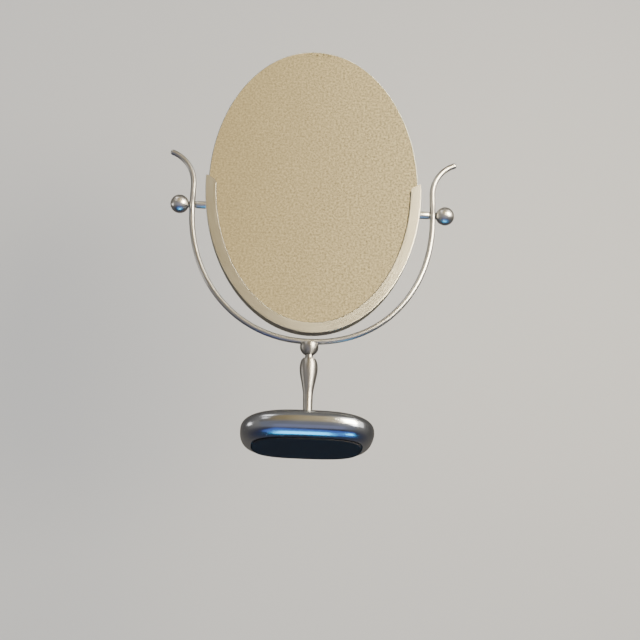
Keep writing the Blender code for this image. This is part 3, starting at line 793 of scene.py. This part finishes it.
def liner():
    start = WALL + GAP
    floor_top = start + LINER_FLOOR
    stop = LIP + LINER_SHOW
    half = HALF_CHANNEL - WALL - LINER_GAP
    inner = half - LINER_WALL
    corners = [(start, -half), (stop, -half), (stop, -inner), (floor_top, -inner),
               (floor_top, inner), (stop, inner), (stop, half), (start, half)]
    outline = filled_in(eased(corners, LINER_EASE, 3), FLAT_PITCH)
    made = half_moon("frame_liner_strip", outline, "liner_rubber", END_RISE - LINER_END_DROP,
                     grow=LINER_SHOW)
    return stands_for(made, "mirror", "liner_rubber", "frame_liner")


def oval_row(inset, y, segments=256):
    row = []
    for j in range(segments):
        angle = 2 * math.pi * j / segments
        row.append(((GLASS_X - inset) * math.cos(angle), y, GLASS_MID + (GLASS_Z - inset) * math.sin(angle)))
    return row


def glass():
    front = GLASS_LOW.y
    back = GLASS_HIGH.y
    bevel = GLASS_BEVEL
    steps = ((FACE_RING, front), (bevel, front), (0.0, front + bevel), (0.0, back - bevel), (bevel, back),
             (FACE_RING, back))
    rows = [oval_row(inset, y) for inset, y in steps]
    made = grid_object("mirror_glass_plate", rows, ["mirror_silver", "glass_edge", "back_paint"],
                       cap_start="fan", cap_end="fan")
    for polygon in made.data.polygons:
        middle = polygon.center.y
        if middle < front + WELD:
            polygon.material_index = 0
        elif middle > back - WELD:
            polygon.material_index = 2
        else:
            polygon.material_index = 1
    return stands_for(made, "mirror", "mirror_glass", "mirror_glass")


def backing():
    low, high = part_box("backing_panel")
    inset = GLASS_X - high.x
    ease = BOARD_EASE
    steps = ((inset + BOARD_RING, low.y), (inset + ease, low.y), (inset, low.y + ease),
             (inset, high.y - ease), (inset + ease, high.y), (inset + BOARD_RING, high.y))
    rows = [oval_row(step, y) for step, y in steps]
    made = grid_object("backing_panel_board", rows, "back_paint", cap_start="fan", cap_end="fan")
    return stands_for(made, "mirror", "back_paint", "backing_panel")


base_shell()
base_pad()
stem()
collar()
ball()
yoke()
for side, label in ((-1, "left"), (1, "right")):
    pivot_post(side, label)
    washer(side, label, "inner", "mirror")
    washer(side, label, "outer", "washer_" + label)
    ball_knob(side, label)
channel()
liner()
glass()
backing()

HIDDEN = {
    "ballast_weight": "cast_iron", "base_plate": "zinc_steel", "spring_washer": "zinc_steel",
    "tie_rod": "zinc_steel", "tie_rod_nut": "zinc_steel", "pivot_stud_left": "zinc_steel",
    "pivot_stud_right": "zinc_steel", "base_plate_screw_1": "zinc_steel", "base_plate_screw_2": "zinc_steel",
    "base_plate_screw_3": "zinc_steel", "base_plate_screw_4": "zinc_steel",
}
for node_name, look_name in HIDDEN.items():
    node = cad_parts[node_name]
    node.data.materials.clear()
    node.data.materials.append(LOOKS[look_name])


# ---------------------------------------------------------------- stage, light and camera

def stage_plane(name, centre, across, up, half_across, half_up, material):
    """A flat sheet facing across x up."""
    centre = Vector(centre)
    across = Vector(across) * half_across
    up = Vector(up) * half_up
    mesh = bpy.data.meshes.new(name)
    corners = [centre - across - up, centre + across - up, centre + across + up, centre - across + up]
    mesh.from_pydata(corners, [], [(0, 1, 2, 3)])
    mesh.materials.append(material)
    made = bpy.data.objects.new(name, mesh)
    bpy.context.scene.collection.objects.link(made)
    return made


def pale_look(name, near, far):
    """Pale matt sheet, seen from its front only.

    Its own glow evens out the light on it; near and far are the glow's share by the object and away from it.
    """
    look = Shade(name)
    slow = look.noise(look.place(), 2.0, 2.0, 0.5)
    tone = look.mix(slow, (0.77, 0.765, 0.75), (0.80, 0.795, 0.78))
    diffuse = look.add("BsdfDiffuse", {"Color": tone})
    lit = look.add("Emission", {"Color": tone, "Strength": 0.92})
    away = look.add("VectorMath", {"Vector": look.place()}, operation="LENGTH").outputs["Value"]
    even = look.add("MixShader", {"Fac": look.ramp(away, 0.3, 1.1, near, far, smooth=True)})
    look.feed(even.inputs[1], diffuse.outputs[0])
    look.feed(even.inputs[2], lit.outputs[0])
    clear = look.add("BsdfTransparent")
    back = look.add("NewGeometry").outputs["Backfacing"]
    both = look.add("MixShader", {"Fac": back})
    look.feed(both.inputs[1], even.outputs[0])
    look.feed(both.inputs[2], clear.outputs[0])
    look.feed(look.tree.nodes["Material Output"].inputs["Surface"], both.outputs[0])
    return look.material


def glowing_ceiling_look():
    """Warm stippled plaster that the glass reflects, drawn as a glowing card with painted light across it.
    """
    look = Shade("stage_ceiling")
    place = look.place()
    stipple = look.noise(place, 130.0, 5.0, 0.72)
    broad = look.noise(place, 7.0, 3.0, 0.6)
    split = look.add("SeparateXYZ", {"Vector": place})
    # Painted light: the glow is brighter to the right, and the stipple's painted shade and highlight grow
    # stronger to the right and low down.
    side = look.ramp(split.outputs["X"], -0.45, 0.60)
    low = look.ramp(split.outputs["Z"], 0.9, 0.0)
    tone = look.mix(side, (0.68, 0.49, 0.222), (1.12, 0.85, 0.42))
    spread = look.math("ADD", look.ramp(side, 0.0, 1.0, 0.32, 0.90), look.math("MULTIPLY", low, 0.35))
    dark = look.scale(tone, look.math("SUBTRACT", 1.0, spread))
    light = look.scale(tone, look.math("ADD", 1.0, spread))
    tone = look.mix(look.ramp(stipple, 0.28, 0.72), dark, light)
    patches = look.math("MULTIPLY", look.ramp(broad, 0.35, 0.7), 0.18)
    tone = look.mix(patches, tone, look.scale(tone, 0.8))
    # Painted light: far out, the card goes dark to the left and bright to the right.
    reach = look.ramp(look.math("ABSOLUTE", split.outputs["X"]), 0.6, 2.6, smooth=True)
    tone = look.mix(reach, tone, look.mix(side, (0.28, 0.25, 0.21), (1.50, 1.30, 0.98)))
    # Painted light: low down, the glow fades to a cool grey.
    tone = look.mix(look.ramp(split.outputs["Z"], 1.0, 0.2, smooth=True), tone, (0.38, 0.38, 0.42))
    glow = look.add("Emission", {"Color": tone, "Strength": 1.0})
    look.feed(look.tree.nodes["Material Output"].inputs["Surface"], glow.outputs[0])
    return look.material


floor_look = pale_look("stage_floor", 0.75, 1.0)
floor = stage_plane("stage_floor", (0, 0, -0.5 * MM), (1, 0, 0), (0, 1, 0), 5.0, 5.0, floor_look)
wall_look = pale_look("stage_wall", 0.85, 0.85)
wall = stage_plane("stage_wall", (0, 0.36, 0), (1, 0, 0), (0, 0, 1), 5.0, 5.0, wall_look)
ceiling = stage_plane("stage_ceiling", (0, -2.7, 0.6), (1, 0, 0), (0, 0, 1), 4.0, 3.6, glowing_ceiling_look())
for sheet in (floor, wall):
    sheet.visible_glossy = False
    sheet.visible_diffuse = False
    sheet.visible_shadow = False
    sheet.visible_transmission = False
ceiling.visible_camera = False
ceiling.visible_shadow = False


def soft_light(name, place, target, width, height, power, color, diffuse=True):
    data = bpy.data.lights.new(name, "AREA")
    data.shape = "RECTANGLE"
    data.size = width
    data.size_y = height
    data.energy = power
    data.color = color
    lamp = bpy.data.objects.new(name, data)
    lamp.location = place
    lamp.rotation_mode = "QUATERNION"
    lamp.rotation_quaternion = (Vector(target) - Vector(place)).to_track_quat("-Z", "Y")
    lamp.visible_camera = False
    lamp.visible_diffuse = diffuse
    bpy.context.scene.collection.objects.link(lamp)
    return lamp


WARM = (1.0, 0.93, 0.82)
GOLD = (1.0, 0.85, 0.57)
soft_light("key_core", (1.62, -1.35, 0.42), (0, 0, 0.2), 0.50, 0.85, 26.0, WARM)
soft_light("key_broad", (1.95, -0.95, 0.75), (0, 0, 0.2), 1.30, 1.50, 20.0, WARM)
soft_light("key_top", (0.95, -0.70, 1.45), (0, 0, 0.1), 1.00, 0.24, 6.0, WARM)
soft_light("key_near", (0.58, -0.62, 0.44), (0, 0, 0.25), 0.40, 0.40, 36.0, GOLD)
soft_light("fill_high", (-0.85, -0.65, 1.55), (0, 0, 0.2), 0.60, 0.45, 4.5, WARM)
soft_light("fill_left", (-1.10, -1.10, 0.95), (0, 0, 0.1), 0.40, 0.40, 1.6, WARM)
soft_light("fill_side", (-1.60, 0.10, 0.15), (0, 0, 0.1), 0.50, 0.40, 3.5, WARM, diffuse=False)
soft_light("window_left", (-0.04, 0.00, -1.30), (0, 0, 0), 0.56, 0.50, 7.0, (0.03, 0.62, 1.0), diffuse=False)
soft_light("window_right", (0.66, 0.00, -1.25), (0, 0, 0), 0.34, 0.24, 2.4, (0.03, 0.62, 1.0), diffuse=False)
soft_light("window_halo", (0.10, -0.25, -1.50), (0, 0, 0), 2.00, 1.20, 8.0, (0.12, 0.28, 1.0), diffuse=False)
soft_light("low_front", (0.10, -2.00, -1.20), (0, 0, 0), 2.40, 1.00, 2.0, (0.42, 0.45, 1.0), diffuse=False)


def world_light():
    """Warm in front, dark behind, deep blue below; the camera itself sees only the pale backdrop tone."""
    world = bpy.data.worlds.new("studio")
    bpy.context.scene.world = world
    world.use_nodes = True
    tree = world.node_tree
    sky = tree.nodes["Background"]
    place = tree.nodes.new("ShaderNodeTexCoord")
    split = tree.nodes.new("ShaderNodeSeparateXYZ")
    tree.links.new(place.outputs["Generated"], split.inputs[0])
    color = (0.20, 0.18, 0.155, 1)
    layers = (("Y", 0.45, -0.45, (0.46, 0.42, 0.36, 1)), ("Z", -0.35, -0.80, (0.070, 0.068, 0.105, 1)))
    for axis, start, stop, tone in layers:
        ramp = tree.nodes.new("ShaderNodeMapRange")
        ramp.inputs["From Min"].default_value = start
        ramp.inputs["From Max"].default_value = stop
        tree.links.new(split.outputs[axis], ramp.inputs["Value"])
        blend = tree.nodes.new("ShaderNodeMixRGB")
        blend.inputs["Color2"].default_value = tone
        tree.links.new(ramp.outputs["Result"], blend.inputs["Fac"])
        if isinstance(color, tuple):
            blend.inputs["Color1"].default_value = color
        else:
            tree.links.new(color, blend.inputs["Color1"])
        color = blend.outputs["Color"]
    direct = tree.nodes.new("ShaderNodeLightPath")
    seen = tree.nodes.new("ShaderNodeMixRGB")
    seen.inputs["Color2"].default_value = (0.725, 0.720, 0.705, 1)
    tree.links.new(color, seen.inputs["Color1"])
    tree.links.new(direct.outputs["Is Camera Ray"], seen.inputs["Fac"])
    tree.links.new(seen.outputs["Color"], sky.inputs["Color"])
    sky.inputs["Strength"].default_value = 1.0


world_light()

AZIMUTH = math.radians(-3.0)
ELEVATION = math.radians(-20.7)
ROLL = math.radians(1.4)
DISTANCE = 1.257
TARGET = Vector((0.0105, 0.0, 0.1398))

camera_data = bpy.data.cameras.new("camera")
camera_data.sensor_width = 36.0
camera_data.lens = 67.5
camera = bpy.data.objects.new("camera", camera_data)
bpy.context.scene.collection.objects.link(camera)
back = Vector((math.sin(AZIMUTH) * math.cos(ELEVATION), -math.cos(AZIMUTH) * math.cos(ELEVATION),
               math.sin(ELEVATION)))
camera.location = TARGET + back * DISTANCE
camera.rotation_mode = "QUATERNION"
camera.rotation_quaternion = back.to_track_quat("Z", "Y") @ Quaternion((0, 0, 1), ROLL)
bpy.context.scene.camera = camera
